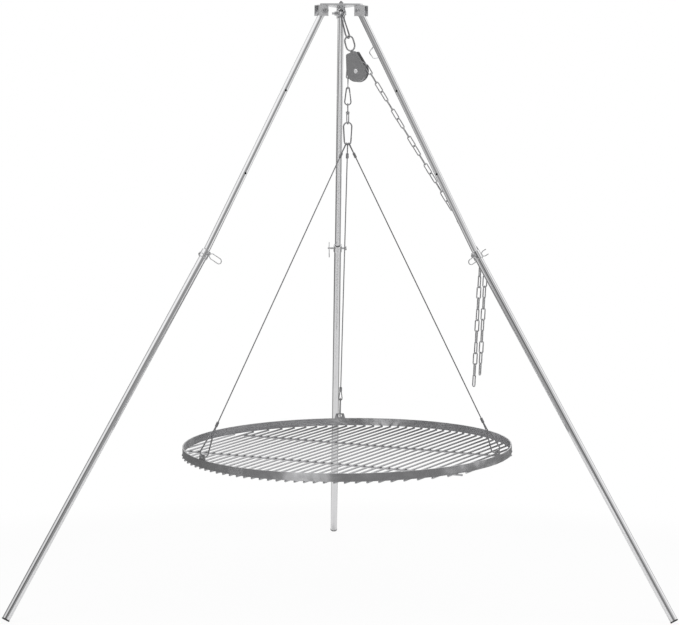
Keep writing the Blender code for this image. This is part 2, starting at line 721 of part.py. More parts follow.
def add_block_piece(name, mesh, look, turn=Matrix()):
    made = piece(name, mesh, look, HOIST)
    made.matrix_local = BLOCK @ turn
    return made


def cheek(name, side):
    """A sheet that widens from a flat top with round corners to a circle about the axle."""
    rise, reach = CROWN_TO_AXLE - CHEEK_CORNER, CHEEK_TOP_WIDTH / 2 - CHEEK_CORNER
    away = math.hypot(rise, reach)
    spread = math.degrees(math.atan2(rise, reach) - math.acos((CHEEK_RADIUS - CHEEK_CORNER) / away))
    outline = arc((0, 0), CHEEK_RADIUS, 180 - spread, 360 + spread, 22)
    outline += arc((reach, rise), CHEEK_CORNER, spread, 90, 5)
    outline += arc((-reach, rise), CHEEK_CORNER, 90, 180 - spread, 5)
    inner = SHEAVE_WIDTH / 2 + CHEEK_PLAY
    shape = bmesh.new()
    rim = [shape.verts.new((point.x, inner, point.z)) for point in outline]
    face = shape.faces.new(rim)
    grown = bmesh.ops.extrude_face_region(shape, geom=[face])["geom"]
    raised = [item for item in grown if isinstance(item, bmesh.types.BMVert)]
    bmesh.ops.translate(shape, verts=raised, vec=(0, CHEEK_SHEET, 0))
    bmesh.ops.recalc_face_normals(shape, faces=shape.faces)
    turn = Matrix.Rotation(math.radians(180 if side < 0 else 0), 4, "Z")
    made = add_block_piece(name, mesh_from(name, shape), SATIN, turn)
    hole = bar_mesh("axle_hole", "Y", AXLE_DIAMETER / 2 + GAP, 0, inner * 2, BOLT_SIDES)
    combine(made, add_block_piece("axle_hole", hole, None, turn), "DIFFERENCE")


def crown():
    """The block's head: a short bar between the cheeks that the swivel post passes through."""
    half = SHEAVE_WIDTH / 2 + CHEEK_PLAY - GAP
    top = CROWN_TO_AXLE
    bar = box_mesh("block_crown", ((-CROWN_WIDTH / 2, -half, top - CROWN_THICKNESS),
                                   (CROWN_WIDTH / 2, half, top)))
    made = add_block_piece("block_crown", bar, SATIN)
    hole = bar_mesh("post_hole", "Z", POST_DIAMETER / 2 + GAP, top - CROWN_THICKNESS * 2,
                    top + CROWN_THICKNESS, BOLT_SIDES)
    combine(made, add_block_piece("post_hole", hole, None), "DIFFERENCE")


def sheave():
    """A grooved wheel whose groove takes links that lie on edge and flat by turns."""
    half, hub = SHEAVE_WIDTH / 2, SHEAVE_HUB_RADIUS
    bore = AXLE_DIAMETER / 2 + GAP
    rim, web = half - 0.0010, half - 0.0008
    floor, shoulder = SHEAVE_GROOVE_RADIUS, SHEAVE_GROOVE_RADIUS + 0.0035
    low, high = SHEAVE_GROOVE_WIDTH / 2, SHEAVE_GROOVE_WIDTH / 2 + 0.0027
    profile = [(hub, half), (SHEAVE_RIM_RADIUS - 0.003, web), (SHEAVE_RIM_RADIUS, rim),
               (shoulder, high), (floor, low), (floor, -low), (shoulder, -high),
               (SHEAVE_RIM_RADIUS, -rim), (SHEAVE_RIM_RADIUS - 0.003, -web), (hub, -half),
               (bore, -half), (bore, half)]
    made = turned("sheave", profile, BRUSHED, ring=True, sides=28, parent=HOIST)
    made.matrix_local = BLOCK @ TURNS["Y"]


def axle():
    face = SHEAVE_WIDTH / 2 + CHEEK_PLAY + CHEEK_SHEET + GAP
    shaft, head = AXLE_DIAMETER / 2, AXLE_HEAD_DIAMETER / 2
    profile = [(0, face + AXLE_HEAD), (head * 0.7, face + AXLE_HEAD), (head, face + AXLE_HEAD / 3),
               (head, face), (shaft, face), (shaft, -face), (head, -face),
               (head, -face - AXLE_HEAD / 3), (head * 0.7, -face - AXLE_HEAD), (0, -face - AXLE_HEAD)]
    made = turned("sheave_axle", profile, POLISHED, sides=BOLT_SIDES, parent=HOIST)
    made.matrix_local = BLOCK @ TURNS["Y"]


cheek("cheek_front", -1)
cheek("cheek_rear", 1)
crown()
sheave()
axle()


# Chain route, in the hoist plane: pin, straight run, round the sheave, straight down
def on_circle(angle):
    return AXLE + SHEAVE_PITCH_RADIUS * Vector((math.cos(angle), 0, math.sin(angle)))


def run_points():
    """Contact points from the lock pin up to the sheave."""
    pin = hoist_point(PIN_POINT)
    reach = pin - AXLE
    distance = reach.length
    tangent = math.atan2(reach.z, reach.x) + math.acos(SHEAVE_PITCH_RADIUS / distance)
    off = on_circle(tangent)
    up = (off - pin).normalized()
    inner_half = (LINK_PITCH - LINK_OVERLAP) / 2
    first = inner_half - PIN_DIAMETER / 2 - GAP + LINK_PITCH / 2
    length = (off - pin).length
    count = int((length - first) / LINK_PITCH)
    points = [pin + up * (first - LINK_PITCH)]
    points += [pin + up * (first + LINK_PITCH * i) for i in range(count + 1)]
    return points, up


def round_sheave(start):
    """Contact points over the sheave from start, one link apart, until the chain hangs free."""
    points = [start]
    offset = start - AXLE
    angle = math.atan2(offset.z, offset.x)
    reach = offset.length
    cosine = (reach ** 2 + SHEAVE_PITCH_RADIUS ** 2 - LINK_PITCH ** 2) / (2 * reach * SHEAVE_PITCH_RADIUS)
    angle += math.acos(cosine)
    step = 2 * math.asin(LINK_PITCH / 2 / SHEAVE_PITCH_RADIUS)
    while angle < math.pi:
        points.append(on_circle(angle))
        angle += step
    last = points[-1]
    side = AXLE.x - SHEAVE_PITCH_RADIUS
    drop = math.sqrt(LINK_PITCH ** 2 - (last.x - side) ** 2)
    points.append(Vector((side, 0, last.z - drop)))
    return points


RUN, RUN_UP = run_points()
chain("chain_run", [(i, RUN[i + 1], RUN[i], LINK_TWIST * i) for i in range(len(RUN) - 1)], HOIST, RUN[-1])
WRAP = round_sheave(RUN[-1] - RUN_UP * LINK_GAP_STEP)
RUN_END_ROLL = LINK_TWIST * (len(RUN) - 2)
EDGE_ROLL = 90 - HOIST_AZIMUTH
TWIST_LEFT = (-EDGE_ROLL - RUN_END_ROLL) % 180
WRAP_TWIST = min(((TWIST_LEFT + 180 * turns) / len(WRAP) for turns in range(-len(WRAP), len(WRAP))),
                 key=lambda twist: abs(abs(twist) - 90))
chain("chain_over_sheave", [(i, WRAP[i + 1], WRAP[i], RUN_END_ROLL + WRAP_TWIST * (i + 1))
                            for i in range(len(WRAP) - 1)], HOIST, AXLE)
FALL_TOP = WRAP[-1] + Vector((0, 0, LINK_GAP_STEP + GAP))
FALL_END = FALL_TOP - Vector((0, 0, LINK_PITCH))
chain("fall_link", [(0, FALL_TOP, FALL_END, EDGE_ROLL)], HOIST, FALL_TOP)


def tail():
    """The spare chain: one link over the pin, then a longer and a shorter strand side by side."""
    top = hoist_point(TAIL_POINT)
    inner_half = (LINK_PITCH - LINK_OVERLAP) / 2
    hung = top + Vector((0, 0, PIN_DIAMETER / 2 + GAP - inner_half + LINK_PITCH / 2))
    first = hung + Vector((TAIL_SIDEWAYS, 0, -math.sqrt(LINK_PITCH ** 2 - TAIL_SIDEWAYS ** 2)))
    links = [(0, hung, first, 0)]
    for side, count in zip((-1, 1), TAIL_LINKS):
        at = first + Vector((side * TAIL_TOP_HALF_GAP, 0, 0))
        for i in range(count):
            lean = (i + 1) * LINK_PITCH * math.sin(math.radians(TAIL_LEAN))
            sideways = first.x + TAIL_SHIFT - lean + side * TAIL_HALF_GAP - at.x
            fall = math.sqrt(LINK_PITCH ** 2 - sideways ** 2)
            after = at + Vector((sideways, 0, -fall))
            links.append((i + 1, at, after, 90 + side * LINK_TWIST * i))
            at = after
    chain("chain_tail", links, HOIST, top)


tail()


# Fall: chain hook, swivel and rope carabiner, facing forwards
FALL_LINE = Matrix.Rotation(math.radians(HOIST_AZIMUTH), 4, "Z") @ FALL_END
FALL = frame("fall_line", TRIPOD, (FALL_LINE.x, FALL_LINE.y, 0))


def swivel_top(height, top):
    """An eye with a headed stem that turns in the bow below it."""
    radius = (SWIVEL_EYE_WIDTH - SWIVEL_WIRE) / 2
    reach = SWIVEL_EYE_LENGTH - SWIVEL_WIRE - radius
    centre = top - reach
    path = arc((0, reach - radius), radius, 0, 180, 6) + arc((0, 0), radius, 180, 360, 6)
    eye = piece("swivel_eye", wire_mesh("swivel_eye", path, SWIVEL_WIRE, True),
                ZINC, FALL, (0, 0, centre), (0, 0, 90))
    stem_end = -radius - SWIVEL_WIRE / 2 - SWIVEL_BOSS - GAP * 3
    head_end = stem_end - SWIVEL_STEM / 2
    profile = [(0, -radius), (SWIVEL_STEM / 2, -radius), (SWIVEL_STEM / 2, stem_end),
               (SWIVEL_HEAD_DIAMETER / 2, stem_end), (SWIVEL_HEAD_DIAMETER / 2, head_end), (0, head_end)]
    stem = turned("swivel_stem", profile, None, sides=BOLT_SIDES, parent=FALL, location=(0, 0, centre))
    combine(eye, stem, "UNION")
    return centre + stem_end + GAP


def swivel_bow(boss_base):
    """A closed bow with a drilled boss on top; returns its bottom wire's centre."""
    half = (SWIVEL_BOW_WIDTH - SWIVEL_WIRE) / 2
    drop = SWIVEL_BOW_HEIGHT - SWIVEL_WIRE
    top = boss_base + SWIVEL_WIRE / 2
    corner = half * 0.35
    path = arc((half - corner, -corner), corner, 0, 90, 3)
    path += arc((-half + corner, -corner), corner, 90, 180, 3)
    path += arc((0, -drop + half), half, 180, 360, 8)
    bow = piece("swivel_bow", wire_mesh("swivel_bow", path, SWIVEL_WIRE, True), ZINC, FALL,
                (0, 0, top), (0, 0, SWIVEL_BOW_TURN))
    boss = bar_mesh("swivel_boss", "Z", SWIVEL_BOSS_DIAMETER / 2, boss_base, boss_base + SWIVEL_BOSS,
                    BOLT_SIDES)
    combine(bow, piece("swivel_boss", boss, None, FALL), "UNION")
    bore = bar_mesh("swivel_bore", "Z", SWIVEL_STEM / 2 + GAP, boss_base - SWIVEL_BOSS,
                    boss_base + SWIVEL_BOSS * 2, BOLT_SIDES)
    combine(bow, piece("swivel_bore", bore, None, FALL), "DIFFERENCE")
    return top - drop


def fall():
    """Stacks the fall's pieces under the last link; returns the rope hook's bottom wire."""
    hook_top = FALL_END.z + LINK_OVERLAP / 2 + GAP + CHAIN_HOOK_WIRE / 2
    drop = hook("chain_hook", CHAIN_HOOK_LENGTH, CHAIN_HOOK_NARROW, CHAIN_HOOK_WIDE, CHAIN_HOOK_WIRE,
                POLISHED, FALL, Matrix.Translation((0, 0, hook_top)))
    eye_top = hook_top - drop + hang(CHAIN_HOOK_WIRE, SWIVEL_WIRE)
    bow_bottom = swivel_bow(swivel_top("swivel_eye", eye_top))
    rope_top = bow_bottom + hang(SWIVEL_WIRE, ROPE_HOOK_WIRE)
    drop = hook("rope_hook", ROPE_HOOK_LENGTH, ROPE_HOOK_WIDE, ROPE_HOOK_NARROW, ROPE_HOOK_WIRE,
                POLISHED, FALL, Matrix.Translation((0, 0, rope_top)))
    return rope_top - drop


ROPE_REST = fall()


# Grate: ring with three ears, and the rods with their cross bars
GRATE = frame("grate", TRIPOD, (FALL_LINE.x + GRATE_SIDEWAYS, FALL_LINE.y, GRATE_RIM_HEIGHT),
              (GRATE_TILT, GRATE_ROLL, 0))
EAR_AZIMUTHS = {side: azimuth + EAR_TURNS[side] for side, azimuth in LEG_AZIMUTHS.items()}
EAR_RADIUS = GRATE_RADIUS - RING_BAR + WELD_SINK - EAR_SHEET / 2


def ears():
    shape = bmesh.new()
    for azimuth in EAR_AZIMUTHS.values():
        cube = bmesh.ops.create_cube(shape, size=1)["verts"]
        for vertex in cube:
            width = EAR_TOP if vertex.co.z > 0 else EAR_BASE
            height = EAR_RISE if vertex.co.z > 0 else -EAR_LAP
            vertex.co = (vertex.co.x * EAR_SHEET, vertex.co.y * width, height)
        place = Matrix.Translation(polar(EAR_RADIUS, azimuth)) @ Matrix.Rotation(
            math.radians(azimuth), 4, "Z")
        bmesh.ops.transform(shape, matrix=place, verts=cube)
    return piece("ears", mesh_from("ears", shape, smooth=False), None, GRATE)


def ear_holes():
    shape = bmesh.new()
    for azimuth in EAR_AZIMUTHS.values():
        place = Matrix.Rotation(math.radians(azimuth), 4, "Z") @ TURNS["X"]
        place = Matrix.Translation(polar(EAR_RADIUS, azimuth, EAR_HOLE_RISE)) @ place
        bmesh.ops.create_cone(shape, cap_ends=True, segments=BOLT_SIDES, radius1=EAR_HOLE_DIAMETER / 2,
                              radius2=EAR_HOLE_DIAMETER / 2, depth=EAR_SHEET * 3, matrix=place)
    return piece("ear_holes", mesh_from("ear_holes", shape), None, GRATE)


def rods(name, offsets, level):
    """Straight rods along X whose ends lie under the ring, at the given distances from its middle."""
    shape = bmesh.new()
    for offset in offsets:
        half = math.sqrt(GRATE_RADIUS ** 2 - offset ** 2)
        add_bar(shape, "X", ROD_DIAMETER / 2, -half, half, ROD_SIDES, (0, offset, level))
    return piece(name, mesh_from(name, shape), BRUSHED, GRATE, turn=(0, 0, ROD_AZIMUTH + GRATE_TURN))


ROD_COUNT = 1 + int(2 * (GRATE_RADIUS - ROD_FROM_RIM - abs(ROD_SHIFT)) / ROD_PITCH)
ROD_OFFSETS = [(i - (ROD_COUNT - 1) / 2) * ROD_PITCH + ROD_SHIFT for i in range(ROD_COUNT)]


def grate_ring():
    """The ring with its ears, and the two outermost rods, which only the ring holds."""
    outer, inner = GRATE_RADIUS, GRATE_RADIUS - RING_BAR
    profile = [(outer, 0), (outer, -RING_HEIGHT), (inner, -RING_HEIGHT), (inner, 0)]
    ring = turned("grate_ring", profile, BRUSHED, ring=True, sides=60, parent=GRATE)
    combine(ring, ears(), "UNION")
    combine(ring, ear_holes(), "DIFFERENCE")
    welded = rods("end_rods", (ROD_OFFSETS[0], ROD_OFFSETS[-1]),
                  -RING_HEIGHT - ROD_DIAMETER / 2 + WELD_SINK)
    combine(ring, welded, "UNION")


def grate_rods():
    """All the other rods, with the two bars that cross under them."""
    level = -RING_HEIGHT - ROD_DIAMETER / 2 - GAP
    made = rods("grate_rods", ROD_OFFSETS[1:-1], level)
    low = level - (ROD_DIAMETER + CROSS_DIAMETER) / 2 + WELD_SINK
    cross = bmesh.new()
    for offset in (-CROSS_OFFSET, CROSS_OFFSET):
        half = math.sqrt(GRATE_RADIUS ** 2 - offset ** 2) - CROSS_SHORT
        add_bar(cross, "Y", CROSS_DIAMETER / 2, -half, half, ROD_SIDES, (offset, 0, low))
    bars = piece("cross_bars", mesh_from("cross_bars", cross), None, GRATE,
                 turn=(0, 0, ROD_AZIMUTH + GRATE_TURN))
    combine(made, bars, "UNION")


grate_ring()
grate_rods()


# Ropes and lower hooks, each on the straight line from the rope hook to its ear
def rope(side, frame_matrix, top_matrix, length):
    """A wire rope with a pressed loop at each end, built along its own Z.

    top_matrix is turned so that the top loop lies square across the rope hook.
    """
    radius = ROPE_DIAMETER / 2
    start, end = ROPE_LOOP_LENGTH, length - ROPE_LOOP_LENGTH
    name = "rope_" + side
    body = piece(name, bar_mesh(name, "Z", radius, start, end, ROD_SIDES), ROPE, TRIPOD)
    body.matrix_local = frame_matrix
    ferrules = bmesh.new()
    for base, toward in ((start, 1), (end, -1)):
        low, high = sorted((base - toward * FERRULE_LENGTH * 0.5, base + toward * FERRULE_LENGTH * 0.5))
        add_bar(ferrules, "Z", FERRULE_DIAMETER / 2, low, high, 8)
    pressed = piece("ferrules", mesh_from("ferrules", ferrules), None, TRIPOD)
    pressed.matrix_local = frame_matrix
    combine(body, pressed, "UNION")
    for base, toward, place in ((0, 1, top_matrix), (length, -1, frame_matrix)):
        path = [Vector((0, point.x, base + toward * point.z)) for point in loop_path()]
        loop = piece("rope_loop", wire_mesh("rope_loop", path, ROPE_DIAMETER), None, TRIPOD)
        loop.matrix_local = place
        combine(body, loop, "UNION")


def loop_path():
    """A drop-shaped loop whose round end is at zero and whose legs meet in the ferrule."""
    half = (ROPE_LOOP_WIDTH - ROPE_DIAMETER) / 2
    legs = ROPE_LOOP_LENGTH - ROPE_DIAMETER / 4
    apart = ROPE_DIAMETER / 2 * 0.8
    return ([Vector((apart, 0, legs)), Vector((half, 0, half * 1.8))]
            + arc((0, half), half, 0, -180, 7)
            + [Vector((-half, 0, half * 1.8)), Vector((-apart, 0, legs))])


def ropes():
    """Three loops side by side in the rope hook's foot, each rope straight to its ear."""
    seat = (ROPE_HOOK_NARROW - ROPE_HOOK_WIRE) / 2
    centre = FALL.location + Vector((0, 0, ROPE_REST + seat))
    order = {"left": -1, "rear": 0, "right": 1}
    for side, azimuth in EAR_AZIMUTHS.items():
        swing = math.radians(order[side] * ROPE_SEAT_SWING)
        bearing = centre + seat * Vector((math.sin(swing), 0, -math.cos(swing)))
        ear = GRATE.matrix_basis @ polar(EAR_RADIUS, azimuth, EAR_HOLE_RISE + EAR_HOLE_LIFT)
        down = (ear - bearing).normalized()
        start = bearing - down * hang(ROPE_HOOK_WIRE, ROPE_DIAMETER)
        radial = along(start, ear, polar(1, azimuth))
        across = along(start, ear, down.cross((0, -down.z, down.y)))
        rope(side, radial, across, low_hook(side, radial, (ear - start).length))


def low_hook(side, down, ear):
    """A small snap hook through the ear, in the upright plane of the rope.

    The rope bears on the inner side of its top bend and the ear on the outer side of its foot,
    so that the hook leans less than the rope. Returns the rope's length.
    """
    high, low = (LOW_HOOK_NARROW - LOW_HOOK_WIRE) / 2, (LOW_HOOK_WIDE - LOW_HOOK_WIRE) / 2
    inner, outer = math.radians(LOW_HOOK_TOP_BEARING), math.radians(LOW_HOOK_FOOT_BEARING)
    seat = high - hang(LOW_HOOK_WIRE, ROPE_DIAMETER)
    upper = Vector((-seat * math.sin(inner), 0, seat * math.cos(inner) - high))
    lower = Vector((low * math.sin(outer), 0, low - low * math.cos(outer) - LOW_HOOK_LENGTH + LOW_HOOK_WIRE))
    reach = lower - upper
    lean = math.atan2(reach.x, -reach.z)
    start = ear - reach.length
    place = (down @ Matrix.Translation((0, 0, start)) @ Matrix.Rotation(math.radians(180), 4, "X")
             @ Matrix.Rotation(lean, 4, "Y") @ Matrix.Translation(-upper))
    hook("low_hook_" + side, LOW_HOOK_LENGTH, LOW_HOOK_NARROW, LOW_HOOK_WIDE, LOW_HOOK_WIRE,
         POLISHED, TRIPOD, place, -1)
    return start


ropes()
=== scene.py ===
import math

import bmesh
import bpy
from mathutils import Matrix, Vector


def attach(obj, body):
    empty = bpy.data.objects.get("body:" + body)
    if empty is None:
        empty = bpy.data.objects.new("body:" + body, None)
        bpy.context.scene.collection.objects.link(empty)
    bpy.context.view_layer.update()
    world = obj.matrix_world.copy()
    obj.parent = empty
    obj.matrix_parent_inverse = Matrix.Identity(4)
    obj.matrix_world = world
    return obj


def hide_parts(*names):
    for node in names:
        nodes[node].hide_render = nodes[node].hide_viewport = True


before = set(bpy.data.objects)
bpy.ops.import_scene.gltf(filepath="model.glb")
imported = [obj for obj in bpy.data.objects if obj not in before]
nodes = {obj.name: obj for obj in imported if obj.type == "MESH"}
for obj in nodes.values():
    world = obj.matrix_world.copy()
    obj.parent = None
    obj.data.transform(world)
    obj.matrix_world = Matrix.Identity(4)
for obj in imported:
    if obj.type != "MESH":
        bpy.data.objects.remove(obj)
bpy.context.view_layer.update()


# Camera: a metre above the ground and 5.3 m in front of the tripod, looking
# slightly down at it, as in the photograph.
TRIPOD_Y = -0.217038
CAMERA_AWAY = 5.27
CAMERA_HEIGHT = 0.9798
CAMERA_AZIMUTH = -0.857
CAMERA_DOWN = 3.332
CAMERA_ROLL = 0.316
CAMERA_REACH = 60
FOCAL_PIXELS, WIDTH_PIXELS = 2174, 679
SENSOR_WIDTH = 36

camera_data = bpy.data.cameras.new("camera")
camera_data.sensor_width = SENSOR_WIDTH
camera_data.lens = FOCAL_PIXELS * SENSOR_WIDTH / WIDTH_PIXELS
camera_data.clip_end = CAMERA_REACH
camera = bpy.data.objects.new("camera", camera_data)
bpy.context.scene.collection.objects.link(camera)
turned = math.radians(CAMERA_AZIMUTH)
camera.matrix_world = (
    Matrix.Translation((CAMERA_AWAY * math.sin(turned),
                        TRIPOD_Y - CAMERA_AWAY * math.cos(turned), CAMERA_HEIGHT))
    @ Matrix.Rotation(turned, 4, "Z")
    @ Matrix.Rotation(math.radians(90 - CAMERA_DOWN), 4, "X")
    @ Matrix.Rotation(math.radians(CAMERA_ROLL), 4, "Z"))
bpy.context.scene.camera = camera
bpy.context.scene.view_settings.view_transform = "Standard"


# Studio: a white room. What polished steel mirrors of it is white with grey
# openings between the soft lights, the widest of them behind the camera.
OPENINGS = (
    # middle and half width of azimuth, of elevation, grey there
    (-26, 100, 11, 21, 0.30),
    (-146, 29, 0, 21, 0.15),
    (30, 40, 50, 11, 0.10),
    (-14, 19, 24, 10, 0.28),
    (146, 26, -3, 30, 0.46),
)
OPENING_EDGE = 10
WALL_LIGHT, WALL_SEEN = 0.8, 1.0

world = bpy.data.worlds.new("studio")
bpy.context.scene.world = world
world.use_nodes = True
tree = world.node_tree
tree.nodes.clear()


def math_node(tree, operation, first, second=None, third=None):
    made = tree.nodes.new("ShaderNodeMath")
    made.operation = operation
    for socket, value in zip(made.inputs, (first, second, third)):
        if value is None:
            continue
        if isinstance(value, bpy.types.NodeSocket):
            tree.links.new(value, socket)
        else:
            socket.default_value = value
    return made.outputs[0]


def room_window(tree, value, middle, half):
    """1 inside middle +- half, falling smoothly to 0 over the edge."""
    away = math_node(tree, "ABSOLUTE", math_node(tree, "SUBTRACT", value, middle))
    falling = tree.nodes.new("ShaderNodeMapRange")
    falling.interpolation_type = "SMOOTHSTEP"
    tree.links.new(away, falling.inputs["Value"])
    falling.inputs["From Min"].default_value = half - OPENING_EDGE
    falling.inputs["From Max"].default_value = half + OPENING_EDGE
    falling.inputs["To Min"].default_value = 1
    falling.inputs["To Max"].default_value = 0
    return falling.outputs["Result"]


direction = tree.nodes.new("ShaderNodeTexCoord").outputs["Generated"]
split = tree.nodes.new("ShaderNodeSeparateXYZ")
tree.links.new(direction, split.inputs[0])
ahead = math_node(tree, "MULTIPLY", split.outputs["Y"], -1)
azimuth = math_node(tree, "DEGREES", math_node(tree, "ARCTAN2", split.outputs["X"], ahead))
elevation = math_node(tree, "DEGREES", math_node(tree, "ARCSINE", split.outputs["Z"]))
mirrored = 1.0
for middle, half, level, level_half, grey in OPENINGS:
    across = room_window(tree, azimuth, middle, half)
    up = room_window(tree, elevation, level, level_half)
    inside = math_node(tree, "MULTIPLY", across, up)
    shade = math_node(tree, "MULTIPLY_ADD", inside, grey - 1, 1.0)
    mirrored = math_node(tree, "MULTIPLY", mirrored, shade)
path = tree.nodes.new("ShaderNodeLightPath").outputs
ambient = tree.nodes.new("ShaderNodeBackground")
ambient.inputs["Strength"].default_value = WALL_LIGHT
seen = tree.nodes.new("ShaderNodeBackground")
seen.inputs["Strength"].default_value = WALL_SEEN
glossed = tree.nodes.new("ShaderNodeBackground")
tree.links.new(mirrored, glossed.inputs["Strength"])
for background in (ambient, seen, glossed):
    background.inputs["Color"].default_value = (1, 1, 1, 1)
glossy = math_node(tree, "MAXIMUM", path["Is Glossy Ray"], path["Is Transmission Ray"])
mix = tree.nodes.new("ShaderNodeMixShader")
tree.links.new(glossy, mix.inputs[0])
tree.links.new(ambient.outputs[0], mix.inputs[1])
tree.links.new(glossed.outputs[0], mix.inputs[2])
final = tree.nodes.new("ShaderNodeMixShader")
tree.links.new(path["Is Camera Ray"], final.inputs[0])
tree.links.new(mix.outputs[0], final.inputs[1])
tree.links.new(seen.outputs[0], final.inputs[2])
output = tree.nodes.new("ShaderNodeOutputWorld")
tree.links.new(final.outputs[0], output.inputs["Surface"])


# Floor: a round of white paper that the camera sees almost burnt out. The steel
# is lit by it, and its colour has that light painted in: a painted pool of light
# near the tripod, painted shade greyer further out, and a painted streak of white where the
# key lamp's light falls across it.
FLOOR_RADIUS, FLOOR_SIDES = 3.0, 128
POOL_EDGE, POOL_END = 0.8, 1.6
# Painted light in the paper's colour: the pool near the tripod, the painted shade far out,
# and the key lamp's painted streak.
PAINTED_POOL_NEAR, PAINTED_SHADE_FAR, PAINTED_LAMP_STREAK = 0.70, 0.22, 1.0
STREAK_AZIMUTH, STREAK_HALF = -26, 12
BURNT_OUT = 0.93

bpy.ops.mesh.primitive_circle_add(vertices=FLOOR_SIDES, radius=FLOOR_RADIUS, fill_type="NGON")
floor = bpy.context.object
floor.name = "floor"
floor_look = bpy.data.materials.new("pale_floor")
floor_look.use_nodes = True
tree = floor_look.node_tree
tree.nodes.clear()
split = tree.nodes.new("ShaderNodeSeparateXYZ")
tree.links.new(tree.nodes.new("ShaderNodeTexCoord").outputs["Object"], split.inputs[0])
ahead = math_node(tree, "SUBTRACT", TRIPOD_Y, split.outputs["Y"])
away = math_node(tree, "SQRT", math_node(
    tree, "MULTIPLY_ADD", split.outputs["X"], split.outputs["X"],
    math_node(tree, "MULTIPLY", ahead, ahead)))
# The paper's diffuse colour is painted light: a painted pool of light near the tripod, fading
# to painted shade further out, with a painted streak of the key lamp's light across it.
pool = tree.nodes.new("ShaderNodeMapRange")
pool.interpolation_type = "SMOOTHSTEP"
tree.links.new(away, pool.inputs["Value"])
pool.inputs["From Min"].default_value = POOL_EDGE
pool.inputs["From Max"].default_value = POOL_END
azimuth = math_node(tree, "DEGREES", math_node(tree, "ARCTAN2", split.outputs["X"], ahead))
streak = room_window(tree, azimuth, STREAK_AZIMUTH, STREAK_HALF)
far_grey = math_node(tree, "MULTIPLY_ADD", streak, PAINTED_LAMP_STREAK - PAINTED_SHADE_FAR, PAINTED_SHADE_FAR)
fall = math_node(tree, "SUBTRACT", far_grey, PAINTED_POOL_NEAR)
painted_light_grey = math_node(tree, "MULTIPLY_ADD", pool.outputs["Result"], fall, PAINTED_POOL_NEAR)
paper = tree.nodes.new("ShaderNodeBsdfDiffuse")
tree.links.new(painted_light_grey, paper.inputs["Color"])
glow = tree.nodes.new("ShaderNodeEmission")
glow.inputs["Color"].default_value = (1, 1, 1, 1)
path = tree.nodes.new("ShaderNodeLightPath").outputs
white = math_node(tree, "MULTIPLY_ADD", pool.outputs["Result"], 1 - BURNT_OUT, BURNT_OUT)
share = math_node(tree, "MULTIPLY", path["Is Camera Ray"], white)
mix = tree.nodes.new("ShaderNodeMixShader")
tree.links.new(share, mix.inputs[0])
tree.links.new(paper.outputs[0], mix.inputs[1])
tree.links.new(glow.outputs[0], mix.inputs[2])
output = tree.nodes.new("ShaderNodeOutputMaterial")
tree.links.new(mix.outputs[0], output.inputs["Surface"])
floor.data.materials.append(floor_look)


# Lamps: three large soft boxes, in front on the left, on the right and behind.
# The room's white already stands for them in what the metal mirrors.
LAMPS = (
    # name, place, aimed at, side length, power
    ("key_lamp", (-2.6, -3.4, 3.4), (0, 0, 0.7), 2.2, 55),
    ("fill_lamp", (3.0, -1.6, 2.6), (0, 0, 0.7), 2.0, 28),
    ("back_lamp", (0.6, 3.2, 3.0), (0, 0, 0.8), 2.4, 30),
)
for name, place, aim, size, power in LAMPS:
    lamp_data = bpy.data.lights.new(name, "AREA")
    lamp_data.size = size
    lamp_data.energy = power
    lamp = bpy.data.objects.new(name, lamp_data)
    lamp.location = place
    lamp.rotation_mode = "QUATERNION"
    lamp.rotation_quaternion = (Vector(aim) - Vector(place)).to_track_quat("-Z", "Y")
    lamp.visible_glossy = False
    bpy.context.scene.collection.objects.link(lamp)


# Legs' upper tubes: polished stainless tube, 15 mm across, with spare holes for
# the lock pin. Drawing the tube left fine lines along it, under faint smudges.
LEG_BODIES = {"left": "leg_left", "rear": "leg_rear", "right": "tripod"}
LEG_AZIMUTHS = {"right": -30.0, "rear": 90.0, "left": 210.0}
LEG_TILT = 28.74
LINE_DETAIL, LINE_DEPTH = 3, 0.0001
SMUDGE_DETAIL, SMUDGE_STRETCH, SMUDGE_SHARE = 2, (0.02, 0.02, 1.4), 0.5
SMOOTHEST_AT, ROUGHEST_AT = 0.3, 0.7
MERGE_WITHIN, FLAT_WITHIN = 0.000002, 0.3


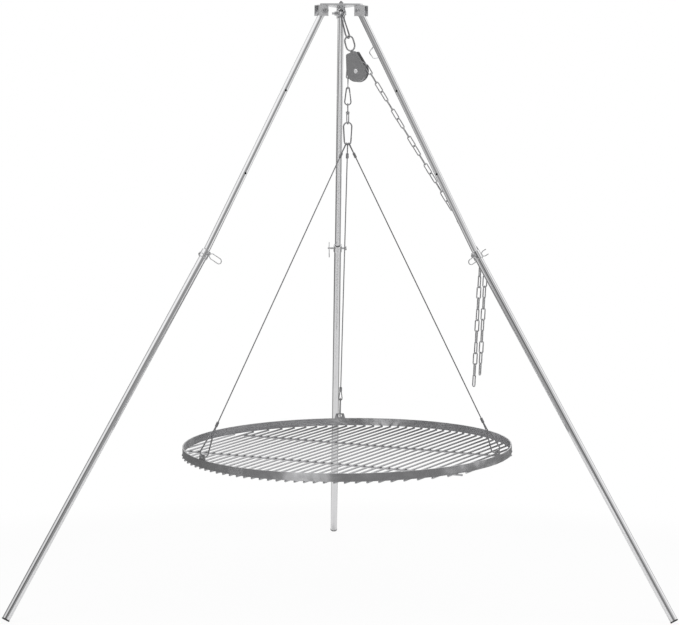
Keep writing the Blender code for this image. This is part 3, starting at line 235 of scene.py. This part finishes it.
def drawn_lines():
    """Fine lines along the mapped Z, as drawing and polishing leave them."""
    group = bpy.data.node_groups.new("drawn_lines", "ShaderNodeTree")
    face = group.interface
    face.new_socket("Vector", in_out="INPUT", socket_type="NodeSocketVector")
    face.new_socket("Smooth", in_out="INPUT", socket_type="NodeSocketFloat")
    face.new_socket("Rough", in_out="INPUT", socket_type="NodeSocketFloat")
    face.new_socket("Roughness", in_out="OUTPUT", socket_type="NodeSocketFloat")
    face.new_socket("Height", in_out="OUTPUT", socket_type="NodeSocketFloat")
    face.new_socket("Smudge", in_out="OUTPUT", socket_type="NodeSocketFloat")
    start = group.nodes.new("NodeGroupInput").outputs
    end = group.nodes.new("NodeGroupOutput").inputs
    lines = group.nodes.new("ShaderNodeTexNoise")
    lines.inputs["Scale"].default_value = 1.0
    lines.inputs["Detail"].default_value = LINE_DETAIL
    group.links.new(start["Vector"], lines.inputs["Vector"])
    smudge_place = group.nodes.new("ShaderNodeVectorMath")
    smudge_place.operation = "MULTIPLY"
    smudge_place.inputs[1].default_value = SMUDGE_STRETCH
    group.links.new(start["Vector"], smudge_place.inputs[0])
    smudge = group.nodes.new("ShaderNodeTexNoise")
    smudge.inputs["Scale"].default_value = 1.0
    smudge.inputs["Detail"].default_value = SMUDGE_DETAIL
    group.links.new(smudge_place.outputs[0], smudge.inputs["Vector"])
    both = math_node(group, "MULTIPLY_ADD", smudge.outputs["Fac"], SMUDGE_SHARE,
                     math_node(group, "MULTIPLY", lines.outputs["Fac"], 1 - SMUDGE_SHARE))
    ranged = group.nodes.new("ShaderNodeMapRange")
    group.links.new(both, ranged.inputs["Value"])
    ranged.inputs["From Min"].default_value = SMOOTHEST_AT
    ranged.inputs["From Max"].default_value = ROUGHEST_AT
    group.links.new(start["Smooth"], ranged.inputs["To Min"])
    group.links.new(start["Rough"], ranged.inputs["To Max"])
    group.links.new(ranged.outputs["Result"], end["Roughness"])
    group.links.new(lines.outputs["Fac"], end["Height"])
    group.links.new(smudge.outputs["Fac"], end["Smudge"])
    return group


DRAWN_LINES = drawn_lines()


def lined_metal(name, colour, dull, smooth, rough, turn, scale, relief, metallic=1.0):
    """Metal whose lines run along Z once the piece is turned back by turn (degrees)."""
    look = bpy.data.materials.new(name)
    look.use_nodes = True
    tree = look.node_tree
    shader = tree.nodes["Principled BSDF"]
    shader.inputs["Metallic"].default_value = metallic
    place = tree.nodes.new("ShaderNodeMapping")
    place.vector_type = "TEXTURE"
    place.inputs["Rotation"].default_value = [math.radians(angle) for angle in turn]
    place.inputs["Scale"].default_value = [1 / size for size in scale]
    tree.links.new(tree.nodes.new("ShaderNodeTexCoord").outputs["Object"],
                   place.inputs["Vector"])
    effect = tree.nodes.new("ShaderNodeGroup")
    effect.node_tree = DRAWN_LINES
    effect.inputs["Smooth"].default_value = smooth
    effect.inputs["Rough"].default_value = rough
    tree.links.new(place.outputs["Vector"], effect.inputs["Vector"])
    tone = tree.nodes.new("ShaderNodeMix")
    tone.data_type = "RGBA"
    tone.inputs["A"].default_value = (*colour, 1)
    tone.inputs["B"].default_value = (*dull, 1)
    tree.links.new(effect.outputs["Smudge"], tone.inputs["Factor"])
    tree.links.new(tone.outputs["Result"], shader.inputs["Base Color"])
    tree.links.new(effect.outputs["Roughness"], shader.inputs["Roughness"])
    bump = tree.nodes.new("ShaderNodeBump")
    bump.inputs["Strength"].default_value = relief
    bump.inputs["Distance"].default_value = LINE_DEPTH
    tree.links.new(effect.outputs["Height"], bump.inputs["Height"])
    tree.links.new(bump.outputs["Normal"], shader.inputs["Normal"])
    return look


def finished(node, body, look, sharp=35):
    """A copy of a CAD node with its triangles merged and its round sides smooth."""
    bpy.ops.object.select_all(action="DESELECT")
    made = bpy.data.objects.new(node + "_finish", nodes[node].data.copy())
    bpy.context.scene.collection.objects.link(made)
    bpy.context.view_layer.objects.active = made
    made.select_set(True)
    bpy.ops.mesh.customdata_custom_splitnormals_clear()
    bpy.ops.object.mode_set(mode="EDIT")
    bpy.ops.mesh.select_all(action="SELECT")
    bpy.ops.mesh.remove_doubles(threshold=MERGE_WITHIN)
    bpy.ops.mesh.dissolve_limited(angle_limit=math.radians(FLAT_WITHIN))
    bpy.ops.object.mode_set(mode="OBJECT")
    bpy.ops.object.shade_smooth_by_angle(angle=math.radians(sharp))
    made.data.materials.clear()
    made.data.materials.append(look)
    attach(made, body)
    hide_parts(node)
    return made


TUBE_LOOKS = {}
for side, body in LEG_BODIES.items():
    TUBE_LOOKS[side] = lined_metal(
        "polished_tube_" + side, colour=(0.93, 0.93, 0.94), dull=(0.86, 0.86, 0.87),
        smooth=0.06, rough=0.14, turn=(0, -LEG_TILT, LEG_AZIMUTHS[side]),
        scale=(900, 900, 9), relief=0.25)
    finished("upper_tube_" + side, body, TUBE_LOOKS[side])


# Legs' lower tubes: the same polished tube, 18 mm across, sleeved over the
# upper one, each with a collar pressed round its mouth.
LOWER_BODIES = {"left": "lower_leg_left", "rear": "lower_leg_rear", "right": "tripod"}
for side, body in LOWER_BODIES.items():
    finished("lower_tube_" + side, body, TUBE_LOOKS[side])
    finished("collar_" + side, body, TUBE_LOOKS[side])


# Lock pins: turned stainless pins with a thick head and a grooved end, and the
# hairpin clips of spring wire that hold them in.
BRIGHT = lined_metal(
    "turned_steel", colour=(0.74, 0.74, 0.75), dull=(0.60, 0.60, 0.61),
    smooth=0.12, rough=0.28, turn=(0, 0, 0), scale=(700, 700, 700), relief=0.3)
SPRING_WIRE = lined_metal(
    "spring_wire", colour=(0.62, 0.62, 0.63), dull=(0.48, 0.48, 0.49),
    smooth=0.18, rough=0.34, turn=(0, 0, 0), scale=(500, 500, 500), relief=0.3)
CLIP_BODIES = {"left": "clip_left", "rear": "clip_rear", "right": "clip_right"}
for side, body in LOWER_BODIES.items():
    finished("lock_pin_" + side, body, BRIGHT)
    finished("pin_clip_" + side, CLIP_BODIES[side], SPRING_WIRE, 60)


# Foot plugs: black moulded plastic with a fine matt grain, pushed into the open
# lower ends of the legs.
PLUG_COLOUR = (0.035, 0.035, 0.036)
GRAIN_SCALE, GRAIN_DETAIL, GRAIN_RELIEF, GRAIN_DEPTH = 1400, 3, 0.3, 0.0002
PLUG_SMOOTH, PLUG_ROUGH = 0.42, 0.66


def moulded(name, colour):
    look = bpy.data.materials.new(name)
    look.use_nodes = True
    tree = look.node_tree
    shader = tree.nodes["Principled BSDF"]
    shader.inputs["Base Color"].default_value = (*colour, 1)
    grain = tree.nodes.new("ShaderNodeTexNoise")
    grain.inputs["Scale"].default_value = GRAIN_SCALE
    grain.inputs["Detail"].default_value = GRAIN_DETAIL
    tree.links.new(tree.nodes.new("ShaderNodeTexCoord").outputs["Object"],
                   grain.inputs["Vector"])
    ranged = tree.nodes.new("ShaderNodeMapRange")
    tree.links.new(grain.outputs["Fac"], ranged.inputs["Value"])
    ranged.inputs["To Min"].default_value = PLUG_SMOOTH
    ranged.inputs["To Max"].default_value = PLUG_ROUGH
    tree.links.new(ranged.outputs["Result"], shader.inputs["Roughness"])
    bump = tree.nodes.new("ShaderNodeBump")
    bump.inputs["Strength"].default_value = GRAIN_RELIEF
    bump.inputs["Distance"].default_value = GRAIN_DEPTH
    tree.links.new(grain.outputs["Fac"], bump.inputs["Height"])
    tree.links.new(bump.outputs["Normal"], shader.inputs["Normal"])
    return look


PLUG = moulded("plug_plastic", PLUG_COLOUR)
for side, body in LOWER_BODIES.items():
    finished("foot_plug_" + side, body, PLUG, 40)


# Head: a flat three-cornered plate of stainless sheet with a bent bracket
# welded under each corner; a bolt and nut hinges each leg in its bracket.
SHEET = lined_metal(
    "brushed_sheet", colour=(0.80, 0.80, 0.81), dull=(0.66, 0.66, 0.67),
    smooth=0.20, rough=0.34, turn=(0, 90, 0), scale=(1200, 1200, 20), relief=0.35,
    metallic=0.72)
finished("head_plate", "tripod", SHEET, 30)
for side in LEG_BODIES:
    finished("bracket_" + side, "tripod", SHEET, 30)
    finished("hinge_bolt_" + side, "tripod", BRIGHT, 35)
    finished("hinge_nut_" + side, "tripod", BRIGHT, 30)


# Eye bolt: polished steel, with its eye under the head plate. Its shank goes up
# through the plate and is held by a nut on top.
finished("eye_bolt", "tripod", BRIGHT, 45)
finished("eye_nut", "tripod", BRIGHT, 30)


# Snap hooks: bent from polished steel wire, each with a sprung wire gate. One
# holds the pulley block, one hangs on the chain, one gathers the ropes and three
# hold the grate's ears.
HOOKS = {
    "hanger_hook": "tripod", "hanger_hook_gate": "hanger_gate",
    "chain_hook": "hook", "chain_hook_gate": "hook_gate",
    "rope_hook": "grate", "rope_hook_gate": "rope_hook_gate_body",
    "low_hook_left": "grate", "low_hook_left_gate": "low_gate_left",
    "low_hook_rear": "grate", "low_hook_rear_gate": "low_gate_rear",
    "low_hook_right": "grate", "low_hook_right_gate": "low_gate_right",
}
HOOK_WIRE = lined_metal(
    "hook_wire", colour=(0.46, 0.46, 0.47), dull=(0.34, 0.34, 0.35),
    smooth=0.14, rough=0.30, turn=(0, 0, 0), scale=(500, 500, 500), relief=0.3)
for node, body in HOOKS.items():
    finished(node, body, HOOK_WIRE, 70)


# Chain: welded oval links of 3 mm bright wire, from the lock pin up to the
# pulley and over it, with the slack end hanging from the pin. The link over the
# block and the swivel over the ropes are bent from like wire.
CHAIN = {"chain_run": "tripod", "chain_over_sheave": "tripod", "chain_tail": "tail",
         "fall_link": "fall", "swivel_link": "tripod", "swivel_eye": "hook",
         "swivel_bow": "grate"}
CHAIN_WIRE = lined_metal(
    "chain_wire", colour=(0.62, 0.62, 0.63), dull=(0.48, 0.48, 0.49),
    smooth=0.14, rough=0.30, turn=(0, 0, 0), scale=(400, 400, 400), relief=0.4)
for node, body in CHAIN.items():
    finished(node, body, CHAIN_WIRE, 70)


# Pulley block: two pressed cheeks of satin steel sheet, a crown that ties them
# together, and a grooved wheel on a riveted axle. Pressing left a low rib just
# inside the cheeks' edge.
RIM_INSET, RIM_WIDTH, RIM_HEIGHT = 0.0020, 0.0006, 0.0004
SAME_WAY, SAME_PLANE = 0.999, 0.0001
SATIN = lined_metal(
    "satin_cheek", colour=(0.36, 0.36, 0.365), dull=(0.24, 0.24, 0.245),
    smooth=0.34, rough=0.5, turn=(0, 0, 0), scale=(420, 420, 420), relief=0.8,
    metallic=0.6)
WHEEL = lined_metal(
    "wheel_steel", colour=(0.60, 0.60, 0.61), dull=(0.50, 0.50, 0.51),
    smooth=0.22, rough=0.38, turn=(0, 0, 0), scale=(900, 900, 900), relief=0.3)
AXLE = lined_metal(
    "axle_head", colour=(0.94, 0.94, 0.95), dull=(0.86, 0.86, 0.87),
    smooth=0.14, rough=0.22, turn=(0, 0, 0), scale=(700, 700, 700), relief=0.2,
    metallic=0.6)


def pressed_rim(made, outward):
    """A low rib pressed out of the cheek's flat face, just inside its edge."""
    bpy.ops.object.select_all(action="DESELECT")
    bpy.context.view_layer.objects.active = made
    made.select_set(True)
    bpy.ops.object.mode_set(mode="EDIT")
    shape = bmesh.from_edit_mesh(made.data)
    widest = max(shape.faces, key=lambda face: face.calc_area() * face.normal.dot(outward))
    plane, middle = widest.normal.copy(), widest.calc_center_median()
    for face in shape.faces:
        away = abs((face.calc_center_median() - middle).dot(plane))
        face.select = face.normal.dot(plane) > SAME_WAY and away < SAME_PLANE
    bmesh.update_edit_mesh(made.data)
    bpy.ops.mesh.inset(thickness=RIM_INSET)
    bpy.ops.mesh.inset(thickness=RIM_WIDTH, depth=RIM_HEIGHT)
    bpy.ops.mesh.inset(thickness=RIM_WIDTH)
    bpy.ops.mesh.inset(thickness=RIM_WIDTH, depth=-RIM_HEIGHT)
    bpy.ops.object.mode_set(mode="OBJECT")


for node, outward in (("cheek_front", (0, -1, 0)), ("cheek_rear", (0, 1, 0))):
    pressed_rim(finished(node, "tripod", SATIN, 30), Vector(outward))
finished("block_crown", "tripod", SATIN, 30)
finished("sheave", "sheave_wheel", WHEEL, 35)
finished("sheave_axle", "tripod", AXLE, 35)


# Wire ropes: laid stainless rope, 2.8 mm thick. Each end is bent back to a loop
# and held by a pressed ferrule.
LAID_ROPE = lined_metal(
    "laid_rope", colour=(0.40, 0.40, 0.41), dull=(0.28, 0.28, 0.29),
    smooth=0.28, rough=0.46, turn=(0, 0, 0), scale=(600, 600, 600), relief=0.6)
for side in LEG_BODIES:
    finished("rope_" + side, "grate", LAID_ROPE, 60)


# Grate ring: flat stainless bar on edge, rolled into a ring and brushed round,
# with three ears that carry the low hooks. It hangs tilted a little forwards.
GRATE_FORWARDS, GRATE_SIDEWAYS = 2.87, -0.86
BEND_SCALE, BEND_DETAIL, BEND_HEIGHT = 11, 2, 0.007
RING = lined_metal(
    "brushed_ring", colour=(0.64, 0.64, 0.65), dull=(0.42, 0.42, 0.43),
    smooth=0.16, rough=0.30, turn=(GRATE_FORWARDS, 90 - GRATE_SIDEWAYS, 0),
    scale=(60, 1800, 12), relief=0.4)


def rolled_uneven(look):
    """The slight waves that rolling leaves in a flat bar, under its finish."""
    tree = look.node_tree
    wave = tree.nodes.new("ShaderNodeTexNoise")
    wave.inputs["Scale"].default_value = BEND_SCALE
    wave.inputs["Detail"].default_value = BEND_DETAIL
    tree.links.new(tree.nodes["Texture Coordinate"].outputs["Object"], wave.inputs["Vector"])
    bend = tree.nodes.new("ShaderNodeBump")
    bend.inputs["Distance"].default_value = BEND_HEIGHT
    tree.links.new(wave.outputs["Fac"], bend.inputs["Height"])
    tree.links.new(bend.outputs["Normal"], tree.nodes["Bump"].inputs["Normal"])


rolled_uneven(RING)
finished("grate_ring", "grate", RING, 30)


# Grate rods: round polished rods cut to the ring, with the edges of their ends
# broken. Each is welded under the ring, and two cross bars are welded under them.
GRATE_MIDDLE = (0.01989, -0.226079, 0.354)
ROD_AZIMUTH = 61.0
ROD_PLACE = (Matrix.Translation(GRATE_MIDDLE)
             @ Matrix.Rotation(math.radians(GRATE_SIDEWAYS), 4, "Y")
             @ Matrix.Rotation(math.radians(GRATE_FORWARDS), 4, "X")
             @ Matrix.Rotation(math.radians(ROD_AZIMUTH), 4, "Z"))
RING_RADIUS, ROD_THICK, CROSS_THICK = 0.400, 0.0045, 0.0050
ROD_COUNT, ROD_PITCH, ROD_SHIFT, ROD_LEVEL = 34, 0.0218, 0.0030, -0.02155
CROSS_AT, CROSS_SHORT, CROSS_LEVEL = 0.1333, 0.006, -0.0258
ROD_SIDES, ROD_SMOOTH = 16, 40
BLANK_HALF, BLANK_END = 0.5, 0.001
BROKEN_EDGE, BROKEN_STEPS = 0.0006, 2
ROD = lined_metal(
    "grate_rod", colour=(0.60, 0.60, 0.61), dull=(0.46, 0.46, 0.47),
    smooth=0.12, rough=0.24, turn=(90, 0, ROD_AZIMUTH - 90), scale=(800, 800, 12),
    relief=0.3)


def rod_blank(thick):
    """A round rod along Z, a metre long, to be shortened at both ends."""
    bpy.ops.object.select_all(action="DESELECT")
    bpy.ops.mesh.primitive_cylinder_add(
        vertices=ROD_SIDES, radius=thick / 2, depth=2 * BLANK_HALF)
    blank = bpy.context.object
    bpy.ops.object.mode_set(mode="EDIT")
    bpy.ops.mesh.select_mode(type="EDGE")
    bpy.ops.mesh.select_all(action="DESELECT")
    shape = bmesh.from_edit_mesh(blank.data)
    for edge in shape.edges:
        edge.select = all(abs(corner.co.z) > BLANK_HALF - BLANK_END for corner in edge.verts)
    bmesh.update_edit_mesh(blank.data)
    bpy.ops.mesh.bevel(offset=BROKEN_EDGE, segments=BROKEN_STEPS)
    bpy.ops.object.mode_set(mode="OBJECT")
    return blank


def cut_rod(blank, half, place):
    """A copy of the blank, cut to a half length and put in its place."""
    made = bpy.data.objects.new("cut_rod", blank.data.copy())
    bpy.context.scene.collection.objects.link(made)
    for corner in made.data.vertices:
        corner.co.z += math.copysign(BLANK_HALF - half, -corner.co.z)
    made.data.transform(place)
    return made


def welded_together(pieces, name):
    bpy.ops.object.select_all(action="DESELECT")
    for made in pieces:
        made.select_set(True)
    bpy.context.view_layer.objects.active = pieces[0]
    bpy.ops.object.join()
    pieces[0].name = name
    bpy.ops.object.shade_smooth_by_angle(angle=math.radians(ROD_SMOOTH))
    return pieces[0]


along_x = Matrix.Rotation(math.radians(90), 4, "Y")
along_y = Matrix.Rotation(math.radians(90), 4, "X")
rod, cross = rod_blank(ROD_THICK), rod_blank(CROSS_THICK)
bars, rods = [], []
for number in range(ROD_COUNT):
    offset = (number - ROD_COUNT / 2 + 0.5) * ROD_PITCH + ROD_SHIFT
    half = math.sqrt(RING_RADIUS ** 2 - offset ** 2)
    rods.append((half, offset))
    place = ROD_PLACE @ Matrix.Translation((0, offset, ROD_LEVEL)) @ along_x
    bars.append(cut_rod(rod, half, place))
for offset in (-CROSS_AT, CROSS_AT):
    half = math.sqrt(RING_RADIUS ** 2 - offset ** 2) - CROSS_SHORT
    place = ROD_PLACE @ Matrix.Translation((offset, 0, CROSS_LEVEL)) @ along_y
    bars.append(cut_rod(cross, half, place))
for blank in (rod, cross):
    bpy.data.objects.remove(blank)
grille = welded_together(bars, "grate_rods_round")
grille.data.materials.append(ROD)
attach(grille, "grate")
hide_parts("grate_rods")


# Welds: a small oval bead of darker, rough metal at each end of each rod, where
# it is welded to the underside of the ring.
BEAD_SIZE, BEAD_FROM_END, BEAD_LEVEL = (0.0036, 0.0030, 0.0018), 0.0034, -0.0195
BEAD_SIDES, BEAD_RINGS = 12, 7
WELD = lined_metal(
    "weld_bead", colour=(0.42, 0.42, 0.43), dull=(0.24, 0.24, 0.25),
    smooth=0.24, rough=0.46, turn=(0, 0, 0), scale=(900, 900, 900), relief=0.9)

bpy.ops.object.select_all(action="DESELECT")
bpy.ops.mesh.primitive_uv_sphere_add(segments=BEAD_SIDES, ring_count=BEAD_RINGS, radius=1)
bead = bpy.context.object
beads = []
for half, offset in rods:
    for along in (half - BEAD_FROM_END, BEAD_FROM_END - half):
        drop = bpy.data.objects.new("bead", bead.data.copy())
        bpy.context.scene.collection.objects.link(drop)
        drop.data.transform(ROD_PLACE @ Matrix.Translation((along, offset, BEAD_LEVEL))
                            @ Matrix.Diagonal((*BEAD_SIZE, 1)))
        beads.append(drop)
bpy.data.objects.remove(bead)
weld = welded_together(beads, "rod_welds")
weld.data.materials.append(WELD)
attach(weld, "grate")
